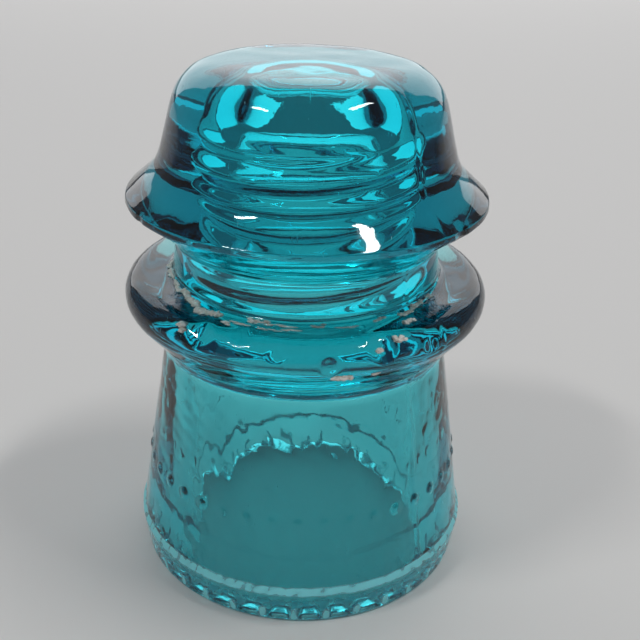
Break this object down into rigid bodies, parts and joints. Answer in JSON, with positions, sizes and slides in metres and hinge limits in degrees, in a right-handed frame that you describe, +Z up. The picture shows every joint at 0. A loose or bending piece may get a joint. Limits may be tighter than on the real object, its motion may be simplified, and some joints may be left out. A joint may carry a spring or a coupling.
{
  "type": "glass pin insulator",
  "caption": "Pressed glass pin-type insulator: domed crown, wire groove between two flared ridges, hollow skirt with a ribbed base and a threaded pin hole.",
  "frame": {"origin": "centre of the base, on the plane that the base ribs stand on", "axes": "+Z up along the insulator's own axis, from the base to the crown"},
  "size_m": [0.0698, 0.0698, 0.0994],
  "materials": {
    "teal_glass": "pressed teal glass, glossy, slightly wavy, with worn ridges"
  },
  "bodies": {
    "root": {"glass_body": "teal_glass"}
  },
  "joints": []
}
